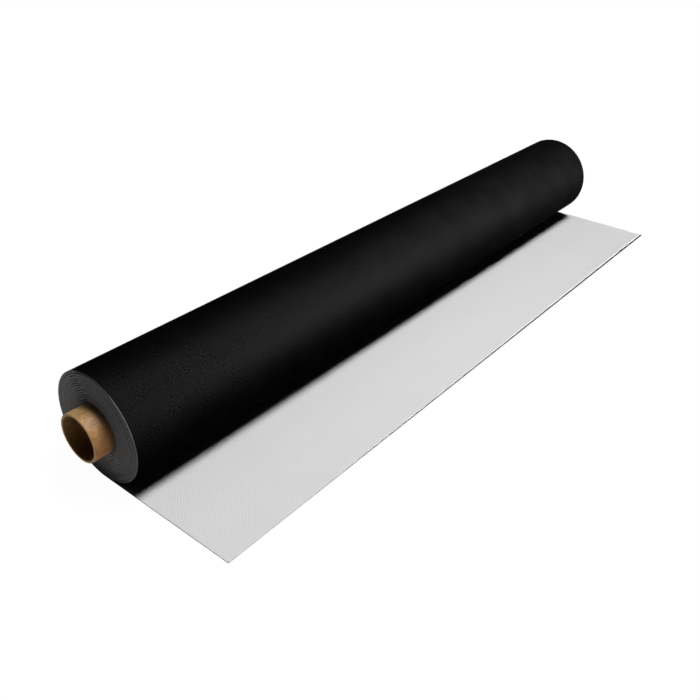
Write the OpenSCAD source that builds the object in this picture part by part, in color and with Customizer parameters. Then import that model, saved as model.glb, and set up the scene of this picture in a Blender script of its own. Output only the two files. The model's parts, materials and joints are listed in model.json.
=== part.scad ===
// Roll of roofing membrane on a cardboard core, lying on the floor with its loose end run out flat.
// The roll's axis lies along Y. The loose end runs out towards +X. The floor is the plane z = 0.
// The origin is on the floor, in the middle of the object's length and width.

/* [Sheet] */
// Width of the sheet, which is the length of the roll
sheet_width = 1500; // [900:10:2100]
// Thickness of the sheet
sheet_t = 1.5; // [1:0.1:3]
// How far the loose end runs out, from the line where the roll meets the floor
loose_end = 283; // [120:1:600]

/* [Roll] */
// Diameter over the outer turn
roll_d = 197; // [150:1:400]
// Air left between one turn and the next
turn_air = 0.15; // [0.1:0.05:0.5]
// Width of the groove that parts two turns, at the ends of the roll
groove_w = 0.5; // [0.2:0.1:0.8]
// Depth of that groove
groove_depth = 0.5; // [0.2:0.1:1]

/* [Core] */
// Inner diameter of the core tube
core_bore_d = 77; // [50:1:100]
// Wall of the core tube
core_wall = 4; // [2.5:0.5:6]
// How far the core tube stands out of each end of the roll
core_out = 34; // [0:1:80]
// Radial clearance between the core tube and the first turn
core_fit = 0.1; // [0.05:0.05:0.3]

/* [Hidden] */
$fn = 180;

core_r = core_bore_d / 2 + core_wall;
core_len = sheet_width + 2 * core_out;
first_turn_r = core_r + core_fit;

// Each turn is drawn as two half circles. The front half is half a pitch smaller than the rear half,
// and its centre is half a pitch higher, so the halves meet on the upright plane through the axis
// and the outer turn comes down on top of the loose end.
pitch = sheet_t + turn_air;
half_pitch = pitch / 2;
rear_r = roll_d / 2;
front_r = rear_r - half_pitch;
turns = floor((front_r - first_turn_r) / pitch);

// The roll's axis: its height, and its place in X, which centres the whole width on the origin
axis_z = rear_r;
axis_x = (rear_r - max(loose_end, front_r)) / 2;

// A cut runs this far past the faces that it opens
over = 1;

// Lays a shape drawn upright along Z down on the floor, so that its Z runs to -Y
module lay_down() {
    translate([axis_x, 0, axis_z]) rotate([90, 0, 0]) children();
}

// Section through the wound turns on one side of the axis, for turning about the Z axis.
// Both of its ends carry one V-shaped groove for each gap between two turns.
module wound_section(outer_r, grooves) {
    end = sheet_width / 2;
    inner_r = first_turn_r - pitch;
    top_end = [
        for (turn = [1:grooves])
            let (r = outer_r - turn * pitch)
                each [[r + groove_w / 2, end], [r, end - groove_depth], [r - groove_w / 2, end]]
    ];
    bottom_end = [for (i = [len(top_end) - 1:-1:0]) [top_end[i][0], -top_end[i][1]]];
    polygon(concat(
        [[outer_r, end]], top_end, [[inner_r, end], [inner_r, -end]], bottom_end, [[outer_r, -end]]
    ));
}

// The wound turns, as the rear half turn and the front half turn side by side
module wound_roll() {
    rotate([0, 0, 90]) rotate_extrude(angle = 180) wound_section(rear_r, turns);
    translate([0, half_pitch, 0])
        rotate([0, 0, -90]) rotate_extrude(angle = 180) wound_section(front_r, turns - 1);
}

// The end of the sheet that lies flat on the floor, as wide as the roll is long
module loose_sheet() {
    translate([0, -axis_z, -sheet_width / 2]) cube([loose_end, sheet_t, sheet_width]);
}

// The whole sheet, wound and loose, as one piece
module membrane() {
    color("#1c1d1f")
    lay_down()
        difference() {
            union() {
                wound_roll();
                loose_sheet();
            }
            cylinder(r = first_turn_r, h = sheet_width + 2 * over, center = true);
        }
}

// The cardboard tube that the sheet is wound on
module core_tube() {
    color("#a98253")
    lay_down()
        difference() {
            cylinder(r = core_r, h = core_len, center = true);
            cylinder(d = core_bore_d, h = core_len + 2 * over, center = true);
        }
}

membrane();
core_tube();
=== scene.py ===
"""Looks of a roll of roofing membrane: the wound and partly unrolled sheet, and its cardboard core tube.

The sheet is one closed strip, a profile carried along the line that the winding follows. The core tube is
a closed profile turned about the roll's axis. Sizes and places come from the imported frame, in metres.
"""

import functools
import json
import logging
import math
from dataclasses import dataclass
from enum import IntEnum

import bpy
import numpy as np
from mathutils import Matrix, Vector


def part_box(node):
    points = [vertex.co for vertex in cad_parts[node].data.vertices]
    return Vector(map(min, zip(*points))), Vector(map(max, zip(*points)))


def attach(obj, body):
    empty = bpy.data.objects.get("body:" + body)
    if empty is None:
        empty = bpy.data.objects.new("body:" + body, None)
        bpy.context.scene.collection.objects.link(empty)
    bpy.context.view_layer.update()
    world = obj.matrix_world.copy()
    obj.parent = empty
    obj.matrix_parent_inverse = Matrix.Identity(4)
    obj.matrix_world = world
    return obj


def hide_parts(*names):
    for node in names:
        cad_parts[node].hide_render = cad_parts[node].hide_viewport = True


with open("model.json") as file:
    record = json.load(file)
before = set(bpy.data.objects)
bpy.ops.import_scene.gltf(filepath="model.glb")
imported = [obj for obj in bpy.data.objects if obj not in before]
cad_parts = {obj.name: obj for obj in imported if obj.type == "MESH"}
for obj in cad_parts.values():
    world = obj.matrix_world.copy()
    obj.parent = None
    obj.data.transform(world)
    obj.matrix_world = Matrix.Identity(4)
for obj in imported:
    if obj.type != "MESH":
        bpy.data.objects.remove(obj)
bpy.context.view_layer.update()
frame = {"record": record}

log = logging.getLogger("roofing_membrane")

MM = 0.001
BODY = "root"

Colour = tuple[float, float, float]
Way = tuple[float, float, float]
Span = tuple[float, float]
Socket = bpy.types.NodeSocket

# A range of values, and the range that they are mapped to
Ramp = tuple[Span, Span]

# Directions on the sheet's own map, in metres from its free end and from the middle of its width
ALONG_SHEET: Way = (1.0, 0.0, 0.0)
ACROSS_SHEET: Way = (0.0, 1.0, 0.0)

# The range that most of a noise's values lie in
USUAL_NOISE: Span = (0.3, 0.7)


# ---- Sizes from the frame ----


@dataclass(frozen=True)
class Layout:
    """Where the roll, the loose end and the core tube lie, read from the frame.

    `free_x` is the free edge of the loose end. `half_width` and `half_core` are half the lengths of the
    roll and of the tube.
    """

    axis_x: float
    axis_z: float
    roll_r: float
    half_width: float
    free_x: float
    core_r: float
    bore_r: float
    half_core: float

    @property
    def axis(self) -> tuple[float, float]:
        """The roll's axis, as its X and Z."""
        return self.axis_x, self.axis_z

    @classmethod
    def from_frame(cls, record: dict) -> "Layout":
        """Reads the two nodes' boxes and the bore's mount.

        Args:
            record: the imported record.

        Returns:
            The layout, in metres.
        """
        sheet_low, sheet_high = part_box("membrane")
        core_low, core_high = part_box("core_tube")
        bore = next(mount for mount in record["mounts"] if mount["name"] == "core_bore")
        axis_x, _, axis_z = bore["pos_m"]
        return cls(
            axis_x=axis_x,
            axis_z=axis_z,
            roll_r=axis_x - sheet_low.x,
            half_width=sheet_high.y,
            free_x=sheet_high.x,
            core_r=(core_high.z - core_low.z) / 2,
            bore_r=bore["dims"]["r_mm"] * MM,
            half_core=core_high.y,
        )


# ---- Meshes ----


def smooth_step(value: np.ndarray, start: float, end: float) -> np.ndarray:
    """0 up to start, 1 from end on, and 3t^2 - 2t^3 between them."""
    t = np.clip((value - start) / (end - start), 0.0, 1.0)
    return t * t * (3.0 - 2.0 * t)


def build_mesh(name: str, places: np.ndarray, quads: np.ndarray, slots: np.ndarray) -> bpy.types.Object:
    """Makes an object from arrays of vertices and quads, smooth-shaded and linked to the scene.

    Args:
        name: the piece's name.
        places: vertex positions, shape (n, 3).
        quads: vertex indices, shape (m, 4), wound so that the faces point outwards.
        slots: each quad's material slot, shape (m,).

    Returns:
        The new object, at the origin.
    """
    mesh = bpy.data.meshes.new(name)
    mesh.vertices.add(len(places))
    mesh.vertices.foreach_set("co", places.astype(np.float32).ravel())
    mesh.loops.add(quads.size)
    mesh.loops.foreach_set("vertex_index", quads.astype(np.int32).ravel())
    mesh.polygons.add(len(quads))
    mesh.polygons.foreach_set("loop_start", np.arange(0, quads.size, 4, dtype=np.int32))
    mesh.polygons.foreach_set("material_index", slots.astype(np.int32))
    mesh.update(calc_edges=True)
    mesh.shade_smooth()
    piece = bpy.data.objects.new(name, mesh)
    bpy.context.scene.collection.objects.link(piece)
    return piece


def add_uv(piece: bpy.types.Object, name: str, places: np.ndarray) -> None:
    """Adds a UV map from an array of shape (corners, 2)."""
    layer = piece.data.uv_layers.new(name=name, do_init=False)
    layer.uv.foreach_set("vector", places.astype(np.float32).ravel())


def add_values(piece: bpy.types.Object, name: str, values: np.ndarray) -> None:
    """Adds a float attribute with one value for each vertex."""
    attribute = piece.data.attributes.new(name, "FLOAT", "POINT")
    attribute.data.foreach_set("value", values.astype(np.float32).ravel())


@dataclass(frozen=True)
class Grid:
    """A grid of vertices, rows by columns, whose columns close into a ring."""

    rows: int
    columns: int

    def corners(self) -> tuple[np.ndarray, np.ndarray]:
        """Lists each quad's corners, from its row to the next row and then to the next column.

        The last column is followed by column number `columns`, which is column 0 again, so that a map can
        tell the two apart.

        Returns:
            The corners' rows and the corners' columns, both of shape (quads, 4).
        """
        row, column = np.meshgrid(np.arange(self.rows - 1), np.arange(self.columns), indexing="ij")
        rows = row.reshape(-1, 1) + np.array([0, 1, 1, 0])
        columns = column.reshape(-1, 1) + np.array([0, 0, 1, 1])
        return rows, columns

    def vertices(self, rows: np.ndarray, columns: np.ndarray) -> np.ndarray:
        """The vertex number at each row and column."""
        return rows * self.columns + columns % self.columns


# ---- Shader nodes ----


# A Mix node's sockets for two colours, by number because its sockets share their names
MIX_SHARE, MIX_FIRST, MIX_SECOND, MIX_RESULT = 0, 6, 7, 2


class Wiring:
    """Adds and joins the nodes of one shader."""

    def __init__(self, tree: bpy.types.NodeTree) -> None:
        """Starts on an emptied node tree."""
        self.tree = tree
        tree.nodes.clear()

    def feed(self, socket: Socket, source: object) -> None:
        """Links a socket, or sets its value when the source is a plain number or colour.

        Args:
            socket: the input to feed.
            source: another node's output, a number or a colour.
        """
        if isinstance(source, bpy.types.NodeSocket):
            self.tree.links.new(source, socket)
        else:
            socket.default_value = source

    def add(self, kind: str, inputs: dict | None = None, **settings: object) -> bpy.types.Node:
        """Adds a node.

        Args:
            kind: the node's type, without the leading ShaderNode.
            inputs: sockets by name or number, each with a source socket or a value.
            settings: the node's own properties.

        Returns:
            The node.
        """
        node = self.tree.nodes.new("ShaderNode" + kind)
        for name, value in settings.items():
            setattr(node, name, value)
        for key, source in (inputs or {}).items():
            self.feed(node.inputs[key], source)
        return node

    def object_place(self) -> Socket:
        """The piece's own coordinates, in metres."""
        return self.add("TexCoord").outputs["Object"]

    def uv(self, name: str) -> Socket:
        """A UV map of the piece."""
        return self.add("UVMap", uv_map=name).outputs["UV"]

    def value_of(self, name: str) -> Socket:
        """A float attribute of the piece."""
        return self.add("Attribute", attribute_name=name).outputs["Fac"]

    def stretched(self, vector: Socket, scale: Way, move: Way = (0.0, 0.0, 0.0)) -> Socket:
        """A vector multiplied by a scale for each axis and then moved."""
        inputs = {"Vector": vector, "Location": move, "Scale": scale}
        return self.add("Mapping", inputs).outputs["Vector"]

    def maths(self, operation: str, first: object, second: object = 0.0) -> Socket:
        """One step of arithmetic on numbers."""
        return self.add("Math", {0: first, 1: second}, operation=operation).outputs[0]

    def product(self, *factors: object) -> Socket:
        """The product of two or more numbers."""
        return functools.reduce(lambda total, factor: self.maths("MULTIPLY", total, factor), factors)

    def along(self, vector: Socket, way: Way) -> Socket:
        """How far a vector reaches along a direction."""
        return self.add("VectorMath", {0: vector, 1: way}, operation="DOT_PRODUCT").outputs["Value"]

    def about_axis(self, axis: tuple[float, float]) -> tuple[Socket, Socket]:
        """Works out where a point lies about the roll's axis.

        Args:
            axis: the axis's X and Z.

        Returns:
            The distance from the axis, and the direction away from it.
        """
        place = self.stretched(self.object_place(), (1.0, 0.0, 1.0), (-axis[0], 0.0, -axis[1]))
        radius = self.add("VectorMath", {0: place}, operation="LENGTH").outputs["Value"]
        way = self.add("VectorMath", {0: place}, operation="NORMALIZE").outputs["Vector"]
        return radius, way

    def noise(self, vector: Socket, size: float, detail: float = 3.0, roughness: float = 0.55) -> Socket:
        """Soft noise, 0.5 on average, with features about one size across in the vector's units."""
        inputs = {"Vector": vector, "Scale": 1.0 / size, "Detail": detail, "Roughness": roughness}
        return self.add("TexNoise", inputs).outputs["Fac"]

    def ranged(self, value: Socket, ramp: Ramp, kind: str = "LINEAR") -> Socket:
        """Maps a value from one range to another, held at the ends. SMOOTHSTEP eases both ends."""
        source, target = ramp
        limits = {"From Min": source[0], "From Max": source[1], "To Min": target[0], "To Max": target[1]}
        return self.add("MapRange", {"Value": value, **limits}, interpolation_type=kind).outputs["Result"]

    def varied(self, noise: Socket, target: Span) -> Socket:
        """Spreads the usual values of a noise over a range."""
        return self.ranged(noise, (USUAL_NOISE, target))

    def swung(self, wave: Socket, swing: float) -> Socket:
        """A tone of 1 that a wave of -1 to 1 swings up and down."""
        return self.ranged(wave, ((-1.0, 1.0), (1.0 - swing, 1.0 + swing)))

    def mixed(self, share: object, first: object, second: object, blend: str = "MIX") -> Socket:
        """Mixes two colours, or tints the first by the second with another blend.

        Args:
            share: how much of the second there is, from 0 to 1.
            first: a colour, or an output that gives one.
            second: the same, or a number.
            blend: the Mix node's blend type.

        Returns:
            The mixed colour.
        """
        ends = [(*end, 1.0) if isinstance(end, tuple) else end for end in (first, second)]
        inputs = {MIX_SHARE: share, MIX_FIRST: ends[0], MIX_SECOND: ends[1]}
        return self.add("Mix", inputs, data_type="RGBA", blend_type=blend).outputs[MIX_RESULT]

    def shaded(self, colour: object, value: Socket) -> Socket:
        """A colour multiplied by a number."""
        return self.mixed(1.0, colour, value, "MULTIPLY")

    def bump(self, height: Socket, depth: float) -> Socket:
        """A normal from a height of 0 to 1 that stands for a depth in metres."""
        return self.add("Bump", {"Height": height, "Distance": depth, "Strength": 1.0}).outputs["Normal"]


def direction(angle: float) -> Way:
    """The direction at an angle about the roll's axis, in degrees up from the loose end's side."""
    return math.cos(math.radians(angle)), 0.0, math.sin(math.radians(angle))


@dataclass(frozen=True)
class Finish:
    """A surface finish, made as one material with a Principled shader."""

    name: str
    roughness: float
    gloss: float

    def material(self) -> bpy.types.Material:
        """Makes the finish's material.

        Returns:
            The material, with its pattern wired to its shader.
        """
        material = bpy.data.materials.new(self.name)
        material.use_nodes = True
        wires = Wiring(material.node_tree)
        constants = {"Roughness": self.roughness, "Specular IOR Level": self.gloss}
        shader = wires.add("BsdfPrincipled", constants)
        self.wire(wires, shader)
        wires.add("OutputMaterial", {"Surface": shader.outputs[0]})
        return material

    def wire(self, wires: Wiring, shader: bpy.types.Node) -> None:
        """Adds the pattern nodes that drive the shader. Each finish has its own.

        Args:
            wires: the material's wiring.
            shader: the material's Principled shader.
        """
        raise NotImplementedError


@dataclass(frozen=True)
class SheetFace(Finish):
    """A face of the sheet, with the twill of its reinforcing fabric pressed through it.

    `patches` and `gaps` take a noise to the twill's strength, `pressed` a place across the sheet, and `bent`
    a place along it.
    """

    rib: float = 4.6 * MM
    weave_depth: float = 0.08 * MM
    bend_size: float = 30.0 * MM
    bend: float = 1.5
    patch_size: float = 20.0 * MM
    patches: Ramp = ((0.4, 0.58), (0.1, 1.2))
    gap_size: float = 7.0 * MM
    gaps: Ramp = ((0.36, 0.56), (0.25, 1.25))
    pressed: Ramp = ((-0.55, -0.1), (1.0, 0.25))
    bent: Ramp = ((0.05, 0.2), (0.7, 1.2))
    second_share: float = 0.25

    def woven(self, wires: Wiring) -> Socket:
        """The fabric's twill: the sine along one diagonal of the sheet plus a fainter one along the other.

        It comes through in uneven patches with gaps in them, both of noise. It flattens out from the near
        edge to the middle, and from the roll to the free end.

        Args:
            wires: the material's wiring.

        Returns:
            The twill's height, 0 on average and mostly within 1 either way.
        """
        sheet = wires.uv("sheet")
        step = 2.0 * math.pi / self.rib / math.sqrt(2.0)
        bend = wires.varied(wires.noise(sheet, self.bend_size, detail=2.0), (-self.bend, self.bend))
        diagonals = (
            ((-step, step, 0.0), 1.0 - self.second_share),
            ((step, step, 0.0), self.second_share),
        )
        waves = [
            wires.product(wires.maths("SINE", wires.maths("ADD", wires.along(sheet, way), bend)), share)
            for way, share in diagonals
        ]
        patches = wires.ranged(wires.noise(sheet, self.patch_size), self.patches)
        gaps = wires.ranged(wires.noise(sheet, self.gap_size, detail=1.0), self.gaps)
        pressed = wires.ranged(wires.along(sheet, ACROSS_SHEET), self.pressed, "SMOOTHSTEP")
        bent = wires.ranged(wires.along(sheet, ALONG_SHEET), self.bent)
        return wires.product(wires.maths("ADD", *waves), patches, gaps, pressed, bent)


@dataclass(frozen=True)
class BlackFace(SheetFace):
    """The sheet's weather side: black, with a graphite sheen and a fine grain pressed into it.

    The sheen is the metallic kind with a black edge tint, so it is no stronger at low angles than head on,
    and the black doesn't turn white there. `spots` takes a noise to the grain's strength, and `fading` a
    place across the sheet.
    """

    name: str = "membrane_black_face"
    roughness: float = 0.56
    roughness_swing: float = 0.03
    gloss: float = 0.0
    edge_tint: Colour = (0.0, 0.0, 0.0)
    dark: Colour = (0.0018, 0.0018, 0.0018)
    light: Colour = (0.0028, 0.0028, 0.0029)
    weave_tone: float = 0.07
    weave_share: float = 0.2
    grain: float = 3.4 * MM
    grain_depth: float = 0.07 * MM
    grain_tone: float = 0.48
    grain_span: Span = (0.36, 0.64)
    spot_size: float = 26.0 * MM
    spots: Ramp = ((0.42, 0.6), (0.2, 1.0))
    fading: Ramp = ((-0.6, -0.4), (1.0, 0.45))
    cloud_size: float = 60.0 * MM

    def wire(self, wires: Wiring, shader: bpy.types.Node) -> None:
        """Lays grain, weave and faint clouds over the sheet's own length and width.

        Args:
            wires: the material's wiring.
            shader: the material's Principled shader.
        """
        sheet = wires.uv("sheet")
        grain = wires.noise(sheet, self.grain, detail=2.0)
        clouds = wires.noise(sheet, self.cloud_size)
        woven = self.woven(wires)
        spots = wires.ranged(wires.noise(sheet, self.spot_size, detail=2.0), self.spots)
        fading = wires.ranged(wires.along(sheet, ACROSS_SHEET), self.fading)
        specks = wires.ranged(grain, (self.grain_span, (-self.grain_tone, self.grain_tone)))
        grained = wires.maths("ADD", 1.0, wires.product(specks, spots, fading))
        tone = wires.product(grained, wires.swung(woven, self.weave_tone))
        wires.feed(shader.inputs["Metallic"], 1.0)
        wires.feed(shader.inputs["Specular Tint"], (*self.edge_tint, 1.0))
        colour = wires.mixed(clouds, self.dark, self.light)
        wires.feed(shader.inputs["Base Color"], wires.shaded(colour, tone))
        span = self.roughness - self.roughness_swing, self.roughness + self.roughness_swing
        wires.feed(shader.inputs["Roughness"], wires.varied(clouds, span))
        height = wires.maths("ADD", wires.product(woven, self.weave_share), grain)
        wires.feed(shader.inputs["Normal"], wires.bump(height, self.grain_depth))


@dataclass(frozen=True)
class GreyFace(SheetFace):
    """The sheet's under side: light grey and faintly woven, with a painted highlight along its free end.

    Outside the highlight, right at the edge, a dark lip is painted shadow. The highlight and the lip give
    their widths at the near and far ends of `edge_stretch`, which is a stretch across the sheet.
    """

    name: str = "membrane_grey_face"
    roughness: float = 0.8
    gloss: float = 0.0
    colour: Colour = (0.70, 0.70, 0.70)
    weave_tone: float = 0.062
    fibre_size: float = 2.2 * MM
    fibre_tone: Span = (0.97, 1.03)
    cloud_size: float = 90.0 * MM
    cloud_tone: Span = (0.992, 1.008)
    # A painted highlight along the free end, and a dark lip of painted shadow at its very edge
    edge_highlight: Colour = (0.97, 0.97, 0.97)
    edge_highlight_widths: Span = (0.6 * MM, 7.5 * MM)
    lip: Colour = (0.02, 0.02, 0.02)
    lip_shadow_widths: Span = (0.3 * MM, 3.8 * MM)
    edge_stretch: Span = (-0.72, 0.72)
    edge_blur: float = 0.6 * MM

    def wire(self, wires: Wiring, shader: bpy.types.Node) -> None:
        """Lays the weave over clouds and fine fibre noise.

        Args:
            wires: the material's wiring.
            shader: the material's Principled shader.
        """
        sheet = wires.uv("sheet")
        woven = self.woven(wires)
        fibres = wires.noise(sheet, self.fibre_size, detail=2.0)
        clouds = wires.noise(sheet, self.cloud_size, detail=2.0)
        tone = wires.product(
            wires.swung(woven, self.weave_tone),
            wires.varied(fibres, self.fibre_tone),
            wires.varied(clouds, self.cloud_tone),
        )
        colour = self.edged(wires, sheet, wires.shaded(self.colour, tone))
        wires.feed(shader.inputs["Base Color"], colour)
        wires.feed(shader.inputs["Normal"], wires.bump(woven, self.weave_depth))

    def edged(self, wires: Wiring, sheet: Socket, colour: Socket) -> Socket:
        """Adds the painted highlight and the dark lip of painted shadow at the free end, both wider to the
        far side.

        Args:
            wires: the material's wiring.
            sheet: place on the sheet.
            colour: the plain face's colour.

        Returns:
            The edged colour.
        """
        length = wires.along(sheet, ALONG_SHEET)
        width = wires.along(sheet, ACROSS_SHEET)
        # The painted highlight, then the painted shadow of the lip
        for tint, ends in ((self.edge_highlight, self.edge_highlight_widths), (self.lip, self.lip_shadow_widths)):
            reach = wires.ranged(width, (self.edge_stretch, ends))
            past = wires.maths("SUBTRACT", reach, length)
            colour = wires.mixed(wires.ranged(past, ((0.0, self.edge_blur), (0.0, 1.0))), colour, tint)
        return colour


@dataclass(frozen=True, kw_only=True)
class CutEdge(Finish):
    """The sheet's cut edges: dark compound under a thin pale ply, toned in rings about the axis.

    They carry painted shade round the core and a painted highlight on one side of the rim. Angles about
    the axis are in degrees up from the loose end's side. A band is a stretch of radius over which something
    comes or goes: from the rim inwards, or for the painted shade from the core outwards. A ramp that ends
    in `_round`, and each ramp of the rim's painted highlight, takes a cosine, 1 in the direction of its
    angle, to a strength. `breaks` takes a noise to the strength of the rings.
    """

    axis: tuple[float, float]
    rim: float
    core_r: float
    name: str = "membrane_cut_edge"
    roughness: float = 0.75
    gloss: float = 0.0
    compound: Colour = (0.120, 0.120, 0.121)
    pale: Colour = (0.30, 0.30, 0.30)
    pale_from: float = 0.88
    pale_blur: float = 0.04
    pale_waver: float = 0.05
    cut_size: float = 2.5 * MM
    cut_depth: float = 0.08 * MM
    cut_tone: Span = (0.92, 1.08)
    ring: float = 4.0 * MM
    ring_angle: float = 117.0
    ring_round: Ramp = ((0.93, 0.995), (0.1, 1.0))
    ring_reach: float = 9.0 * MM
    ring_shift: float = 6.0
    shift_size: float = 1.0 / 7.0
    break_size: float = 1.0 / 11.0
    breaks: Ramp = ((0.35, 0.55), (0.4, 1.0))
    # Painted shade in a ring round the core, darker on one side
    grime_angle: float = 40.0
    grime_round: Ramp = ((-0.6, 0.4), (0.85, 0.35))
    grime_band: Span = (0.5 * MM, 3.8 * MM)
    # Darker over the top of the rim, near the outer turn
    dark_top_angle: float = 82.0
    dark_top_round: Ramp = ((0.84, 0.96), (0.0, 0.65))
    dark_top_band: Span = (5.5 * MM, 3.5 * MM)
    # A painted highlight on the outer turn's rim, on one side
    rim_highlight: Colour = (0.42, 0.42, 0.42)
    rim_highlight_angle: float = 37.0
    strong_rim_highlight: Ramp = ((0.9, 0.985), (0.0, 0.55))
    faint_rim_highlight: Ramp = ((0.6, 0.88), (0.0, 0.2))
    rim_highlight_band: Span = (3.4 * MM, 2.2 * MM)
    # The cut across the free end: a painted highlight at the near side, painted shade further on
    free_cut_highlight: Colour = (0.62, 0.62, 0.62)
    free_cut_shade: Colour = (0.012, 0.012, 0.012)
    free_cut_fade: Span = (-0.72, -0.3)
    free_reach: Span = (0.15 * MM, 0.25 * MM)

    def wire(self, wires: Wiring, shader: bpy.types.Node) -> None:
        """Mixes the plies through the thickness, tones them in rings, and paints a highlight on the rim on
        one side.

        Args:
            wires: the material's wiring.
            shader: the material's Principled shader.
        """
        sheet = wires.uv("sheet")
        radius, way = wires.about_axis(self.axis)
        cut = wires.noise(sheet, self.cut_size)
        waver = wires.varied(cut, (-self.pale_waver, self.pale_waver))
        line = wires.maths("ADD", wires.value_of("ply"), waver)
        start, end = self.pale_from - self.pale_blur, self.pale_from + self.pale_blur
        colour = wires.mixed(wires.ranged(line, ((start, end), (0.0, 1.0))), self.compound, self.pale)
        tone = wires.product(self.toned(wires, radius, way), wires.varied(cut, self.cut_tone))
        colour = wires.shaded(colour, tone)
        # Paints a highlight on the rim of the outer turn
        colour = wires.mixed(self.rim_highlighted(wires, radius, way), colour, self.rim_highlight)
        wires.feed(shader.inputs["Base Color"], self.at_free_end(wires, sheet, colour))
        wires.feed(shader.inputs["Normal"], wires.bump(cut, self.cut_depth))

    def from_rim(self, wires: Wiring, radius: Socket, band: Span) -> Socket:
        """Grows from 0 to 1 over a band, given by how far in from the rim it starts and ends."""
        return wires.ranged(radius, ((self.rim - band[0], self.rim - band[1]), (0.0, 1.0)))

    def toned(self, wires: Wiring, radius: Socket, way: Socket) -> Socket:
        """Tones the end faces with the rings, painted shade round the core, and a darker stretch on top of
        the rim.

        Args:
            wires: the material's wiring.
            radius: distance from the axis.
            way: direction away from the axis.

        Returns:
            The tone, 1 where none of these marks lie.
        """
        # Darker over the top of the rim
        facing = wires.along(way, direction(self.dark_top_angle))
        dark_top = wires.product(
            wires.ranged(facing, self.dark_top_round, "SMOOTHSTEP"),
            self.from_rim(wires, radius, self.dark_top_band),
        )
        # Painted shade in a ring round the core, darkest on one side
        side = wires.ranged(wires.along(way, direction(self.grime_angle)), self.grime_round)
        start, end = (self.core_r + distance for distance in self.grime_band)
        out = wires.ranged(radius, ((start, end), (0.0, 1.0)))
        grime = wires.add("Mix", {"Factor": out, "A": side, "B": 1.0}).outputs["Result"]
        return wires.product(self.rings(wires, radius, way), grime, wires.maths("SUBTRACT", 1.0, dark_top))

    def rings(self, wires: Wiring, radius: Socket, way: Socket) -> Socket:
        """Tones the end faces in broken rings, strongest over the core and under it.

        The tone is 1 plus the sine of radius over the ring's width, shifted by a noise. The noise's place is
        the direction from the axis, moved along Y by one unit for each `ring_reach` of radius.

        Args:
            wires: the material's wiring.
            radius: distance from the axis.
            way: direction away from the axis.

        Returns:
            The tone, from 0 to 2.
        """
        move = wires.add("CombineXYZ", {"Y": wires.product(radius, 1.0 / self.ring_reach)}).outputs[0]
        spot = wires.add("VectorMath", {0: way, 1: move}, operation="ADD").outputs["Vector"]
        turned = wires.product(radius, 2.0 * math.pi / self.ring)
        shift = wires.product(wires.noise(spot, self.shift_size, detail=2.0), self.ring_shift)
        wave = wires.maths("SINE", wires.maths("ADD", turned, shift))
        facing = wires.maths("ABSOLUTE", wires.along(way, direction(self.ring_angle)))
        broken = wires.ranged(wires.noise(spot, self.break_size, detail=1.0), self.breaks)
        strength = wires.product(wires.ranged(facing, self.ring_round, "SMOOTHSTEP"), broken)
        return wires.maths("ADD", 1.0, wires.product(wave, strength))

    def rim_highlighted(self, wires: Wiring, radius: Socket, way: Socket) -> Socket:
        """Paints a highlight on the rim of the outer turn, over a stretch on either side of one direction.

        Args:
            wires: the material's wiring.
            radius: distance from the axis.
            way: direction away from the axis.

        Returns:
            The share of painted highlight, from 0 to 0.75.
        """
        facing = wires.along(way, direction(self.rim_highlight_angle))
        strong = wires.ranged(facing, self.strong_rim_highlight, "SMOOTHSTEP")
        faint = wires.ranged(facing, self.faint_rim_highlight)
        band = self.from_rim(wires, radius, self.rim_highlight_band)
        return wires.product(wires.maths("ADD", strong, faint), band)

    def at_free_end(self, wires: Wiring, sheet: Socket, colour: Socket) -> Socket:
        """Colours the cut across the free end: a painted highlight at the near side, and painted shade over
        the dark cut from there on.

        Args:
            wires: the material's wiring.
            sheet: place on the sheet.
            colour: the other cut edges' colour.

        Returns:
            The colour of every cut edge.
        """
        width = wires.along(sheet, ACROSS_SHEET)
        # Painted highlight at the near side, turning to painted shade further on
        dark = wires.ranged(width, (self.free_cut_fade, (0.0, 1.0)))
        own = wires.mixed(dark, self.free_cut_highlight, self.free_cut_shade)
        at_end = wires.ranged(wires.along(sheet, ALONG_SHEET), (self.free_reach, (1.0, 0.0)))
        return wires.mixed(at_end, colour, own)


@dataclass(frozen=True)
class Patch:
    """A soft patch of another colour on the tube, centred on a direction from its axis, in degrees."""

    angle: float
    reach: float
    colour: Colour
    strength: float


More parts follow.
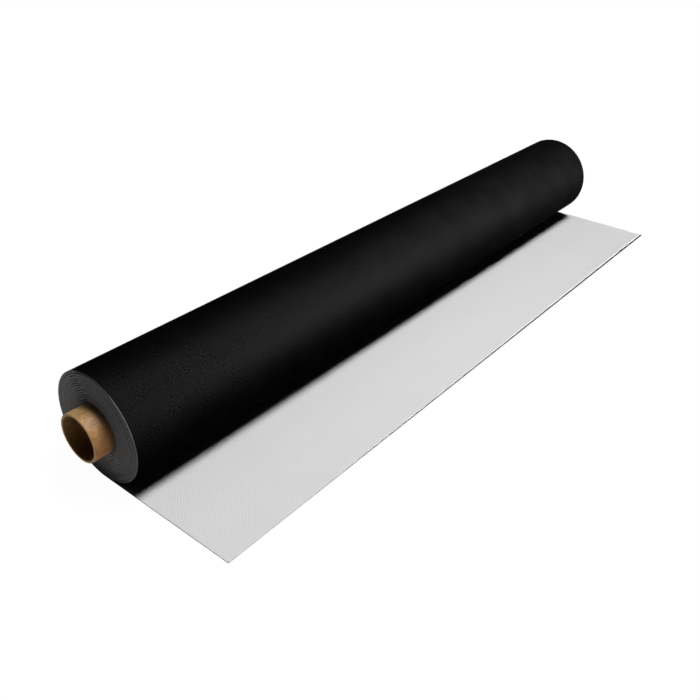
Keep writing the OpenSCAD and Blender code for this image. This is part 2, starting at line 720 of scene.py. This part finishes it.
@dataclass(frozen=True, kw_only=True)
class KraftPaper(Finish):
    """Brown paper of the core tube, mottled, with fibres that run round it, and with painted light and
    shade.

    A stretch is the scale of a noise's place. A patch is at full strength where the cosine to its direction
    is `patch_core`. The painted shading is the tone against the roll's end, where the roll shades the tube,
    and how far it reaches from there; the wide one is the same for a fainter band, as a multiple of that
    reach.
    """

    axis: tuple[float, float]
    roll_end: float
    name: str = "core_kraft_paper"
    roughness: float = 0.62
    roughness_swing: float = 0.06
    gloss: float = 0.12
    tan: Colour = (0.49, 0.27, 0.115)
    brown: Colour = (0.37, 0.175, 0.07)
    mottle_size: float = 17.0 * MM
    mottle_stretch: Way = (1.0, 0.6, 1.0)
    mottle: Ramp = ((0.4, 0.66), (0.0, 0.75))
    fibre_size: float = 0.9 * MM
    fibre_stretch: Way = (0.12, 1.0, 1.0)
    fibre_tone: Span = (0.9, 1.1)
    fibre_depth: float = 0.04 * MM
    fleck_size: float = 2.2 * MM
    fleck_tone: Span = (0.8, 1.2)
    streak_size: float = 5.0 * MM
    streak_stretch: Way = (1.0, 0.45, 1.0)
    streaks: Ramp = ((0.35, 0.65), (0.82, 1.16))
    # Colours by direction about the axis: the light patch at 58 degrees is a painted highlight, the dark one
    # at 97 degrees painted shade on the top, and the other two a paler and a deeper brown
    patches: tuple[Patch, ...] = (
        Patch(58.0, 26.0, (0.56, 0.35, 0.21), 0.7),
        Patch(97.0, 34.0, (0.29, 0.185, 0.07), 0.85),
        Patch(137.0, 28.0, (0.44, 0.32, 0.21), 0.7),
        Patch(-12.0, 50.0, (0.40, 0.185, 0.062), 0.9),
    )
    patch_waver: float = 0.1
    patch_core: float = 0.99
    # Painted shade against the roll's end, where the roll shades the tube
    grime: tuple[float, float] = (0.40, 11.0 * MM)
    wide_grime: tuple[float, float] = (0.76, 2.4)

    def wire(self, wires: Wiring, shader: bpy.types.Node) -> None:
        """Lays fibres, flecks, streaks and the painted shade against the roll's end over the mottled and
        patched paper.

        Args:
            wires: the material's wiring.
            shader: the material's Principled shader.
        """
        place = wires.object_place()
        paper = wires.uv("paper")
        fibres = wires.noise(wires.stretched(paper, self.fibre_stretch), self.fibre_size)
        flecks = wires.noise(paper, self.fleck_size, detail=4.0, roughness=0.7)
        streaks = wires.noise(wires.stretched(paper, self.streak_stretch), self.streak_size)
        tone = wires.product(
            wires.varied(fibres, self.fibre_tone),
            wires.varied(flecks, self.fleck_tone),
            wires.ranged(streaks, self.streaks),
            self.grimed(wires, place),
        )
        wires.feed(shader.inputs["Base Color"], wires.shaded(self.patched(wires, place), tone))
        span = self.roughness - self.roughness_swing, self.roughness + self.roughness_swing
        wires.feed(shader.inputs["Roughness"], wires.varied(flecks, span))
        wires.feed(shader.inputs["Normal"], wires.bump(fibres, self.fibre_depth))

    def patched(self, wires: Wiring, place: Socket) -> Socket:
        """Mottles tan paper with brown, and lays the patches over it with wavering edges, among them a
        painted highlight and painted shade.

        Args:
            wires: the material's wiring.
            place: the piece's own coordinates.

        Returns:
            The paper's colour.
        """
        mottle = wires.noise(wires.stretched(place, self.mottle_stretch), self.mottle_size)
        colour = wires.mixed(wires.ranged(mottle, self.mottle), self.tan, self.brown)
        _, way = wires.about_axis(self.axis)
        waver = wires.varied(mottle, (-self.patch_waver, self.patch_waver))
        for patch in self.patches:
            facing = wires.maths("ADD", wires.along(way, direction(patch.angle)), waver)
            edge = math.cos(math.radians(patch.reach))
            share = wires.ranged(facing, ((edge, self.patch_core), (0.0, patch.strength)))
            colour = wires.mixed(share, colour, patch.colour)
        return colour

    def grimed(self, wires: Wiring, place: Socket) -> Socket:
        """Paints shade on the tube against the roll's end, by a near band and a wider, fainter one. A near
        tone above 1, as on the bore, paints light there instead.

        Args:
            wires: the material's wiring.
            place: the piece's own coordinates.

        Returns:
            The tone, 1 away from the roll's end.
        """
        out = wires.maths("ABSOLUTE", wires.along(place, (0.0, 1.0, 0.0)))
        close, reach = self.grime
        faint, times = self.wide_grime
        near = wires.ranged(out, ((self.roll_end, self.roll_end + reach), (close, 1.0)), "SMOOTHSTEP")
        wide = wires.ranged(out, ((self.roll_end, self.roll_end + times * reach), (faint, 1.0)))
        return wires.product(near, wide)


@dataclass(frozen=True, kw_only=True)
class PlyEnds(Finish):
    """The tube's rim, where the ends of its paper plies show as fine rings."""

    axis: tuple[float, float]
    ply: float
    name: str = "core_ply_ends"
    roughness: float = 0.8
    gloss: float = 0.2
    light: Colour = (0.50, 0.34, 0.20)
    dark: Colour = (0.27, 0.16, 0.08)
    line_blur: float = 1.5
    fray: float = 0.8
    fray_size: float = 0.8 * MM
    fray_depth: float = 0.05 * MM

    def wire(self, wires: Wiring, shader: bpy.types.Node) -> None:
        """Draws the sine of radius over a ply's thickness, blurred by fine noise.

        Args:
            wires: the material's wiring.
            shader: the material's Principled shader.
        """
        radius, _ = wires.about_axis(self.axis)
        fray = wires.noise(wires.object_place(), self.fray_size)
        wave = wires.maths("SINE", wires.product(radius, 2.0 * math.pi / self.ply))
        line = wires.maths("ADD", wave, wires.varied(fray, (-self.fray, self.fray)))
        share = wires.ranged(line, ((-self.line_blur, self.line_blur), (0.0, 1.0)))
        colour = wires.mixed(share, self.dark, self.light)
        wires.feed(shader.inputs["Base Color"], colour)
        wires.feed(shader.inputs["Normal"], wires.bump(fray, self.fray_depth))


# ---- The sheet ----


# A rounded corner of the sheet's section, as shares of its radius at each point of the rounding
CORNER_SHAPE = np.array([0.0, 0.3, 1.0])
CORNER_STEPS = len(CORNER_SHAPE) - 1

# Strips across each long face of the section: a margin at either end, and two between them
FACE_STRIPS = 4


class Side(IntEnum):
    """What a face of the sheet shows, which is also its material slot."""

    BLACK = 0
    GREY = 1
    CUT = 2


@dataclass(frozen=True)
class Stations:
    """Points along the line that the sheet's black face follows, from the loose end to the core.

    `foot` is each point's X and Z, `inward` the direction from the black face to the grey one, `turn` the
    turns so far, and `thin` how far both faces are drawn in, which rounds the sheet's two ends. The first
    `flat_count` points lie on the floor.
    """

    foot: np.ndarray
    inward: np.ndarray
    turn: np.ndarray
    thin: np.ndarray
    flat_count: int

    @property
    def travel(self) -> np.ndarray:
        """Length of sheet from the loose end to each station."""
        steps = np.linalg.norm(np.diff(self.foot, axis=0), axis=1)
        return np.concatenate([[0.0], np.cumsum(steps)])


@dataclass(frozen=True)
class Membrane:
    """The roofing membrane, wound on the core with its loose end flat on the floor.

    `corner` is the radius of the cut edges' corners, `margin` the width of the first strip in from an edge,
    and `stagger` how far the turns' edges stand out of line. Its waves' periods are in turns.
    """

    layout: Layout
    thickness: float = 1.5 * MM
    turn_air: float = 0.15 * MM
    core_fit: float = 0.1 * MM
    corner: float = 0.2 * MM
    margin: float = 3.0 * MM
    stagger: float = 0.8 * MM
    stagger_waves: int = 7
    stagger_periods: Span = (2.4, 8.0)
    steps_a_turn: int = 96
    flat_steps: int = 40
    seed: int = 11
    name: str = "roofing_membrane"

    @property
    def pitch(self) -> float:
        """Distance from one turn to the next."""
        return self.thickness + self.turn_air

    @property
    def turns(self) -> int:
        """How many whole turns fit between the outer turn and the core."""
        room = self.layout.roll_r - self.pitch / 2 - self.layout.core_r - self.core_fit
        return math.floor(room / self.pitch)

    def stations(self) -> Stations:
        """The line of the black face, in X and Z.

        On the floor it runs straight to the foot of the roll. From there each turn is two half circles: the
        rear one about the roll's axis, and the front one half a pitch smaller about a point half a pitch
        higher, so that the next turn starts one pitch further in. A point at angle a from the foot lies at
        (-r sin a, centre - r cos a).

        Returns:
            The stations.
        """
        lay = self.layout
        run = lay.free_x - lay.axis_x
        inner = np.linspace(run - self.margin, 0.0, self.flat_steps)
        flat = np.concatenate([[run, run - self.corner], inner])
        last = 2.0 * math.pi * self.turns
        end_step = self.corner / lay.core_r
        angle = np.linspace(0.0, last, self.turns * self.steps_a_turn + 1)[1:]
        angle = np.concatenate([angle[:-1], [last - end_step, last]])
        # The tiny share puts the last point of a turn in the turn that it ends
        whole = np.floor(angle / (2.0 * math.pi) * (1.0 - 1e-12))
        front = (angle - 2.0 * math.pi * whole) > math.pi
        radius = lay.roll_r - self.pitch * (whole + 0.5 * front)
        centre = lay.axis_z + 0.5 * self.pitch * front
        foot = np.concatenate(
            [
                np.stack([flat, np.zeros_like(flat)], axis=1),
                np.stack([-radius * np.sin(angle), centre - radius * np.cos(angle)], axis=1),
            ]
        )
        foot[:, 0] += lay.axis_x
        turned = np.concatenate([np.zeros_like(flat), angle])
        thin = np.zeros(len(foot))
        thin[[0, -1]] = self.corner
        return Stations(
            foot=foot,
            inward=np.stack([np.sin(turned), np.cos(turned)], axis=1),
            turn=turned / (2.0 * math.pi),
            thin=thin,
            flat_count=len(flat),
        )

    def section(self) -> tuple[np.ndarray, np.ndarray, np.ndarray]:
        """Lays out the sheet's section across its width, as a ring of points with rounded corners.

        Returns:
            Three arrays: which end each point is at (-1 near, 0 middle, 1 far), how far it lies in from
            that end, and its share of the thickness from the black face to the grey one.
        """
        round_off = self.corner * CORNER_SHAPE
        near = np.concatenate([round_off, [self.margin]])
        inset = np.concatenate([near, [0.0], near[::-1]])
        side = np.repeat([-1.0, 0.0, 1.0], [len(near), 1, len(near)])
        rise = np.concatenate([round_off[::-1], np.zeros(FACE_STRIPS - 1), round_off])
        share = rise / self.thickness
        return (
            np.concatenate([side, side[::-1]]),
            np.concatenate([inset, inset[::-1]]),
            np.concatenate([share, 1.0 - share[::-1]]),
        )

    def edge_stagger(self, stations: Stations, seed: int) -> np.ndarray:
        """Works out how far each station's edge lies in from the end of the roll.

        It is a sum of sine waves over the turns, each with its own period and its own slow change round the
        roll. It is nothing on the loose end and grows over the first turn.

        Args:
            stations: the stations along the sheet.
            seed: seed of the waves.

        Returns:
            One distance for each station, from 0 to the full stagger.
        """
        rng = np.random.default_rng(seed)
        period = rng.uniform(*self.stagger_periods, self.stagger_waves)
        lobes = rng.integers(0, 3, self.stagger_waves)
        start = rng.uniform(0.0, 2.0 * math.pi, self.stagger_waves)
        phase = 2.0 * math.pi * stations.turn[:, None] * (1.0 / period + lobes) + start
        waves = np.sin(phase).sum(axis=1)
        unit = (waves - waves.min()) / np.ptp(waves)
        return self.stagger * unit * smooth_step(stations.turn, 0.0, 1.0)

    def build(self) -> bpy.types.Object:
        """Carries the section along the stations: place = foot + share * thickness * inward, at each y.

        Returns:
            The sheet, without its finishes.
        """
        lay = self.layout
        stations = self.stations()
        side, inset, share = self.section()
        grid = Grid(len(stations.foot), len(side))
        depth = stations.thin[:, None] + share * (self.thickness - 2.0 * stations.thin[:, None])
        near = self.edge_stagger(stations, self.seed)
        far = self.edge_stagger(stations, self.seed + 1)
        drawn_in = np.where(side < 0, near[:, None], far[:, None]) + stations.thin[:, None]
        y = side * (lay.half_width - inset - drawn_in)
        flat = stations.foot[:, None, :] + depth[:, :, None] * stations.inward[:, None, :]
        places = np.stack([flat[..., 0], y, flat[..., 1]], axis=-1).reshape(-1, 3)

        rows, columns = grid.corners()
        caps = self.caps(grid)
        quads = np.concatenate([grid.vertices(rows, columns), caps])
        column = np.concatenate([columns[:, 0], np.full(len(caps), -1)])
        piece = build_mesh(self.name, places, quads, self.slots_of(column))

        travel = np.repeat(stations.travel, len(side))
        add_uv(piece, "sheet", np.stack([travel[quads], places[quads][..., 1]], axis=-1))
        add_values(piece, "ply", np.tile(share, len(stations.foot)))
        add_uv(piece, "OFBake", self.bake_map(stations, column, places[quads], travel[quads]))
        return piece

    def bake_map(
        self, stations: Stations, column: np.ndarray, corner: np.ndarray, travel: np.ndarray
    ) -> np.ndarray:
        """Lays out a map without overlaps that gives the faces that show most of its room.

        The two long faces lie across the map, with the sheet's width along it: the loose end and the outer
        turn are large, and the hidden turns are thin bands. The end faces lie side by side as they are seen
        from the end. Each cut across the sheet is a thin band of its own.

        Args:
            stations: the stations along the sheet.
            column: the section's column that each face starts at, or -1 on the caps.
            corner: places of each face's corners, shape (faces, 4, 3).
            travel: length of sheet from the free end at each corner, shape (faces, 4).

        Returns:
            The map, shape (faces, 4, 2), within the unit square.
        """
        lay = self.layout
        border = 0.005
        end_foot, end_tall = 0.080, 0.250
        free_cap_foot, core_cap_foot, cap_tall = 0.003, 0.009, 0.003
        # A face that starts within this of a limit counts as past it
        hair = 1e-6
        floor_end = stations.travel[stations.flat_count - 1]
        shown_end = stations.travel[stations.flat_count + self.steps_a_turn - 1]
        total = stations.travel[-1]
        begun = travel.min(axis=1)
        slots = self.slots_of(column)
        black, grey, cut = (slots == side for side in (Side.BLACK, Side.GREY, Side.CUT))
        on_floor = begun < floor_end - hair
        shown = begun < shown_end - hair
        cap = (column < 0)[:, None]
        # The far cut edge: the black face's far corner, the flat of the cut and the grey face's far corner
        far = (column >= CORNER_STEPS + FACE_STRIPS) & (column < 3 * CORNER_STEPS + FACE_STRIPS + 1)

        across = border + (1.0 - 2.0 * border) * (corner[..., 1] + lay.half_width) / (2.0 * lay.half_width)
        up = np.zeros_like(travel)
        # Each band's faces, the stretch of sheet that it holds, and its foot and height on the map
        bands = (
            (grey & on_floor, 0.0, floor_end, 0.590, 0.400),
            (black & shown, 0.0, shown_end, 0.340, 0.240),
            (grey & ~on_floor, floor_end, total, 0.045, 0.025),
            (black & ~shown, shown_end, total, 0.015, 0.025),
        )
        for chosen, start, end, foot, tall in bands:
            up[chosen] = foot + tall * (travel[chosen] - start) / (end - start)

        end_x = border + (0.5 - 2.0 * border) * (corner[..., 0] + lay.free_x) / (2.0 * lay.free_x)
        end_z = end_foot + end_tall * corner[..., 2] / (2.0 * lay.roll_r)
        at_end = cut[:, None] & ~cap
        across = np.where(at_end, end_x + 0.5 * far[:, None], across)
        up = np.where(at_end, end_z, up)
        rise = (corner[..., 2] - corner[..., 2].min(axis=1, keepdims=True)) / self.thickness
        cap_foot = np.where(begun > floor_end, core_cap_foot, free_cap_foot)[:, None]
        up = np.where(cap, cap_foot + cap_tall * rise, up)
        return np.stack([across, up], axis=-1)

    @staticmethod
    def slots_of(column: np.ndarray) -> np.ndarray:
        """Tells which faces are black, grey or cut.

        Args:
            column: the section's column that each face starts at, or -1 on the caps.

        Returns:
            The material slot of each face.
        """
        half = 2 * CORNER_STEPS + FACE_STRIPS + 1
        within = column % half
        long_face = (within >= CORNER_STEPS) & (within < CORNER_STEPS + FACE_STRIPS)
        face = np.where(column < half, int(Side.BLACK), int(Side.GREY))
        return np.where(long_face, face, int(Side.CUT))

    @staticmethod
    def caps(grid: Grid) -> np.ndarray:
        """Closes the strip at its two ends, from each black-side point to the one opposite.

        Args:
            grid: the strip's grid.

        Returns:
            The caps' quads, shape (n, 4).
        """
        low = np.arange(grid.columns // 2 - 1)
        first = np.stack([low, low + 1, grid.columns - 2 - low, grid.columns - 1 - low], axis=1)
        last = first[:, ::-1] + (grid.rows - 1) * grid.columns
        return np.concatenate([first, last])

    def dress(self, piece: bpy.types.Object) -> None:
        """Gives the sheet its finishes, in the order of Side, and puts it in its CAD node's place.

        Args:
            piece: the sheet.
        """
        edge = CutEdge(axis=self.layout.axis, rim=self.layout.roll_r, core_r=self.layout.core_r)
        for finish in (BlackFace(), GreyFace(), edge):
            piece.data.materials.append(finish.material())
        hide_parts("membrane")
        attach(piece, BODY)


# ---- The core tube ----


class TubePart(IntEnum):
    """A part of the tube's surface, which is also its material slot."""

    OUTSIDE = 0
    BORE = 1
    RIM = 2


@dataclass(frozen=True)
class CoreTube:
    """The spiral-wound paper tube that the sheet is rolled on.

    `ply_relief` is how far the rim's plies stand apart, and `lip` the rounding of its two edges. The first
    `rows_in` rows of faces in from the rim are `row_step` apart.
    """

    layout: Layout
    steps_round: int = 160
    plies: int = 8
    ply_relief: float = 0.1 * MM
    lip: float = 0.5 * MM
    seam_lead: float = 120.0 * MM
    seam_width: float = 0.9 * MM
    seam_depth: float = 0.2 * MM
    row_step: float = 1.2 * MM
    rows_in: int = 36
    seed: int = 5
    name: str = "cardboard_core_tube"

    def half_profile(self) -> tuple[np.ndarray, np.ndarray]:
        """Lays out the near half of the wall, from the middle outside, round the rim, to the middle inside.

        Returns:
            The radius and the distance in from the rim at each point.
        """
        lay = self.layout
        rows = self.lip + self.row_step * np.arange(self.rows_in, -1, -1)
        turn = np.linspace(0.0, math.pi / 2, 4)[1:-1]
        steps = np.linspace(lay.core_r - self.lip, lay.bore_r + self.lip, 2 * self.plies + 1)
        relief = np.zeros(len(steps))
        relief[1:-1:2] = self.ply_relief * np.random.default_rng(self.seed).uniform(0.5, 1.0, self.plies)
        radius = np.concatenate(
            [
                np.full(len(rows) + 1, lay.core_r),
                lay.core_r - self.lip * (1.0 - np.cos(turn)),
                steps,
                lay.bore_r + self.lip * (1.0 - np.sin(turn)),
                np.full(len(rows) + 1, lay.bore_r),
            ]
        )
        inset = np.concatenate(
            [
                [lay.half_core],
                rows,
                self.lip * (1.0 - np.sin(turn)),
                relief,
                self.lip * (1.0 - np.cos(turn)),
                rows[::-1],
                [lay.half_core],
            ]
        )
        return radius, inset

    def build(self) -> bpy.types.Object:
        """Turns the wall's profile about the roll's axis, with a helical seam pressed into its sides.

        A point at angle a from the foot lies at (-r sin a, y, -r cos a) from the axis.

        Returns:
            The tube, without its finishes.
        """
        lay = self.layout
        radius, inset = self.half_profile()
        radius = np.concatenate([radius, radius[-2:0:-1]])
        inset_of = np.concatenate([inset, inset[-2:0:-1]])
        y = np.concatenate([inset - lay.half_core, lay.half_core - inset[-2:0:-1]])
        grid = Grid(self.steps_round + 1, len(radius))
        angle = np.linspace(0.0, 2.0 * math.pi, grid.rows)[:, None]
        pressed = self.seam(angle, y)
        outside = radius > (lay.core_r + lay.bore_r) / 2
        r = radius - np.where(outside, pressed, -pressed)
        places = np.stack(
            [lay.axis_x - r * np.sin(angle), np.broadcast_to(y, r.shape), lay.axis_z - r * np.cos(angle)],
            axis=-1,
        )
        rows, columns = grid.corners()
        quads = grid.vertices(rows % self.steps_round, columns)
        slots = self.parts_of(radius, inset_of)[columns[:, 0] % grid.columns]
        piece = build_mesh(self.name, places[:-1].reshape(-1, 3), quads, slots)
        length = rows / self.steps_round * 2.0 * math.pi * lay.core_r
        add_uv(piece, "paper", np.stack([length, y[columns % grid.columns]], axis=-1))
        return piece

    def parts_of(self, radius: np.ndarray, inset: np.ndarray) -> np.ndarray:
        """Tells the part of the tube that each column of faces belongs to, by the column's middle.

        Args:
            radius: the profile's distance from the axis.
            inset: the profile's distance in from the nearer rim.

        Returns:
            The material slot of each column.
        """
        middle = (radius + np.roll(radius, -1)) / 2
        depth = (inset + np.roll(inset, -1)) / 2
        half_way = (self.layout.core_r + self.layout.bore_r) / 2
        side = np.where(middle > half_way, int(TubePart.OUTSIDE), int(TubePart.BORE))
        return np.where(depth < self.lip * 0.8, int(TubePart.RIM), side)

    def seam(self, angle: np.ndarray, y: np.ndarray) -> np.ndarray:
        """Depth of the helical butt seam: a bell curve across the line y = lead * angle / full turn."""
        across = (y / self.seam_lead + angle / (2.0 * math.pi)) % 1.0 - 0.5
        return self.seam_depth * np.exp(-((across * self.seam_lead / self.seam_width) ** 2))

    def dress(self, piece: bpy.types.Object) -> None:
        """Gives the tube its finishes, in the order of TubePart, and puts it in its CAD node's place.

        Args:
            piece: the tube.
        """
        lay = self.layout
        outside = KraftPaper(axis=lay.axis, roll_end=lay.half_width)
        # The bore is a darker copy of the paper, painted shade inside the tube. Its near band of painted
        # shading is brighter, painted light deep in the bore, and its wide band darker.
        bore = KraftPaper(
            axis=lay.axis,
            roll_end=lay.half_width,
            name="core_bore_shaded_paper",
            gloss=0.1,
            tan=(0.23, 0.12, 0.04),
            brown=(0.17, 0.083, 0.024),
            patches=(),
            grime=(1.9, 14.0 * MM),
        )
        rim = PlyEnds(axis=lay.axis, ply=(lay.core_r - lay.bore_r) / self.plies)
        for finish in (outside, bore, rim):
            piece.data.materials.append(finish.material())
        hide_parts("core_tube")
        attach(piece, BODY)


# ---- The studio ----


def place_lamp(name: str, kind: str, towards: Vector, **settings: float) -> bpy.types.Object:
    """Makes a lamp whose light comes from the given direction.

    Its multiple importance sampling is off. Where the black face's edge tint leaves no reflection, the
    renderer gives the sheen no share of the samples, and would count the lamp twice.

    Args:
        name: the lamp's name.
        kind: SUN or AREA.
        towards: direction from the object to the lamp.
        settings: the lamp's own properties.

    Returns:
        The lamp, at the origin.
    """
    data = bpy.data.lights.new(name, kind)
    data.cycles.use_multiple_importance_sampling = False
    for key, value in settings.items():
        setattr(data, key, value)
    lamp = bpy.data.objects.new(name, data)
    lamp.rotation_euler = towards.to_track_quat("Z", "Y").to_euler()
    lamp.visible_camera = False
    bpy.context.scene.collection.objects.link(lamp)
    return lamp


@dataclass(frozen=True)
class SoftSun:
    """A distant soft lamp. Its level is what a white surface square to it would show."""

    name: str
    azimuth: float
    elevation: float
    level: float
    spread: float

    def place(self) -> bpy.types.Object:
        """Makes the lamp. Its azimuth is from +X towards +Y, in degrees.

        Returns:
            The lamp.
        """
        across, up = math.radians(self.azimuth), math.radians(self.elevation)
        towards = Vector((math.cos(up) * math.cos(across), math.cos(up) * math.sin(across), math.sin(up)))
        energy = self.level * math.pi
        return place_lamp(self.name, "SUN", towards, energy=energy, angle=math.radians(self.spread))


@dataclass(frozen=True)
class SoftPanel:
    """A square panel of light over the object, aimed at the origin."""

    name: str
    place_at: Way
    side: float
    level: float

    def place(self) -> bpy.types.Object:
        """Makes the panel. A white surface at the origin, square to it, would show its level.

        Returns:
            The panel's lamp.
        """
        towards = Vector(self.place_at)
        energy = self.level * math.pi**2 * towards.length_squared
        lamp = place_lamp(self.name, "AREA", towards, energy=energy, size=self.side)
        lamp.location = towards
        return lamp


@dataclass(frozen=True)
class Viewpoint:
    """The camera, aimed at a point on the floor. Angles are in degrees."""

    aim: Way = (-0.0368, -0.1989, 0.0)
    azimuth: float = 38.587
    elevation: float = 32.353
    roll: float = 1.196
    distance: float = 1.6117
    lens: float = 40.90
    sensor: float = 36.0

    def place(self) -> bpy.types.Object:
        """Makes the camera and makes it the scene's.

        Returns:
            The camera.
        """
        data = bpy.data.cameras.new("camera")
        data.lens = self.lens
        data.sensor_width = self.sensor
        camera = bpy.data.objects.new("camera", data)
        turn = Matrix.Rotation(math.radians(self.azimuth), 4, "Z")
        turn = turn @ Matrix.Rotation(math.radians(90.0 - self.elevation), 4, "X")
        turn = turn @ Matrix.Rotation(math.radians(self.roll), 4, "Z")
        back = turn.to_3x3() @ Vector((0.0, 0.0, 1.0))
        camera.matrix_world = Matrix.Translation(Vector(self.aim) + back * self.distance) @ turn
        bpy.context.scene.collection.objects.link(camera)
        bpy.context.scene.camera = camera
        return camera


@dataclass(frozen=True)
class Studio:
    """The pale floor, the surrounding light and the lamps.

    Neither the floor nor the world is sampled as a lamp, for the reason that `place_lamp` gives. The sheen
    lamps are strong, because only the black face's very dark gloss sees them.
    """

    floor_half: float = 12.0
    floor_gap: float = 0.1 * MM
    floor_colour: Colour = (0.95, 0.95, 0.95)
    shown_glow: float = 0.975
    shown_colour: Colour = (0.03, 0.03, 0.03)
    ambient: float = 0.003
    lamps: tuple[SoftSun | SoftPanel, ...] = (
        SoftSun("key", 51.6, 73.3, 0.885, 15.5),
        SoftPanel("overhead", (0.18, 0.0, 1.0), 0.28, 0.07),
        SoftPanel("fill", (-0.62, 0.0, 1.15), 1.0, 0.13),
    )
    sheen_lamps: tuple[SoftSun | SoftPanel, ...] = (
        SoftPanel("middle_sheen", (0.8, 0.5, 0.4), 0.8, 4.8),
        SoftPanel("high_sheen", (0.3, 0.5, 0.95), 0.8, 3.3),
        SoftPanel("far_sheen", (0.8, 0.8, 0.4), 0.8, 5.2),
        SoftPanel("far_low_sheen", (0.8, 1.1, 0.15), 0.8, 4.5),
        SoftSun("level_sheen", 20.0, 3.0, 0.35, 30.0),
        SoftSun("back_sheen", 180.0, 40.0, 2.2, 40.0),
    )

    def lay_floor(self) -> bpy.types.Object:
        """Makes a square floor just under the object, as one quad.

        Returns:
            The floor.
        """
        half, z = self.floor_half, -self.floor_gap
        places = np.array([[-half, -half, z], [half, -half, z], [half, half, z], [-half, half, z]])
        floor = build_mesh("floor", places, np.array([[0, 1, 2, 3]]), np.zeros(1))
        floor.data.materials.append(self.floor_material())
        return floor

    def shown(self, wires: Wiring) -> Socket:
        """Tells the rays that show the backdrop: from the camera, off gloss or through glass.

        Args:
            wires: the wiring of the floor or the world.

        Returns:
            1 for such a ray, and 0 for any other.
        """
        path = wires.add("LightPath")
        direct = wires.maths("MAXIMUM", path.outputs["Is Camera Ray"], path.outputs["Is Glossy Ray"])
        return wires.maths("MAXIMUM", direct, path.outputs["Is Transmission Ray"])

    def floor_material(self) -> bpy.types.Material:
        """Makes a floor that is white where it is seen, with the object's shadow, and pale to other rays.

        Returns:
            The floor's material.
        """
        material = bpy.data.materials.new("studio_floor")
        material.use_nodes = True
        material.cycles.emission_sampling = "NONE"
        wires = Wiring(material.node_tree)
        plain = wires.add("BsdfDiffuse", {"Color": (*self.floor_colour, 1.0)})
        seen = wires.add("BsdfDiffuse", {"Color": (*self.shown_colour, 1.0)})
        glow = wires.add("Emission", {"Color": (1.0, 1.0, 1.0, 1.0), "Strength": self.shown_glow})
        white = wires.add("AddShader", {0: seen.outputs[0], 1: glow.outputs[0]})
        both = wires.add("MixShader", {0: self.shown(wires), 1: plain.outputs[0], 2: white.outputs[0]})
        wires.add("OutputMaterial", {"Surface": both.outputs[0]})
        return material

    def light_world(self) -> None:
        """Makes the world white where it is seen, and a low even light on the object."""
        world = bpy.data.worlds.new("studio_world")
        world.use_nodes = True
        world.cycles.sampling_method = "NONE"
        bpy.context.scene.world = world
        wires = Wiring(world.node_tree)
        level = wires.ranged(self.shown(wires), ((0.0, 1.0), (self.ambient, 1.0)))
        ground = wires.add("Background", {"Color": (1.0, 1.0, 1.0, 1.0), "Strength": level})
        wires.add("OutputWorld", {"Surface": ground.outputs[0]})

    def build(self) -> None:
        """Lays the floor, lights the world and places the lamps."""
        self.lay_floor()
        self.light_world()
        for lamp in self.lamps:
            lamp.place()
        bpy.context.scene.view_settings.view_transform = "Standard"

    def add_sheen(self, piece: bpy.types.Object) -> None:
        """Places the lamps that only show as sheen on one piece, and add nothing to its colours.

        Args:
            piece: the piece that they light.
        """
        only = bpy.data.collections.new("sheen_pieces")
        only.objects.link(piece)
        for source in self.sheen_lamps:
            lamp = source.place()
            lamp.visible_diffuse = False
            lamp.light_linking.receiver_collection = only


# ---- Building ----


def report(piece: bpy.types.Object) -> None:
    """Logs a finished piece's name, faces and size."""
    size = ", ".join(f"{side / MM:.1f}" for side in piece.dimensions)
    log.info("%s: %d faces, %s mm", piece.name, len(piece.data.polygons), size)


def main() -> None:
    """Builds the camera, the studio and the roll's two pieces, and reports each."""
    logging.basicConfig(level=logging.INFO, format="%(name)s: %(message)s")
    layout = Layout.from_frame(frame["record"])
    Viewpoint().place()
    studio = Studio()
    studio.build()
    for maker in (Membrane(layout), CoreTube(layout)):
        piece = maker.build()
        maker.dress(piece)
        bpy.context.view_layer.update()
        report(piece)
    studio.add_sheen(bpy.data.objects[Membrane.name])


if __name__ == "__main__":
    main()
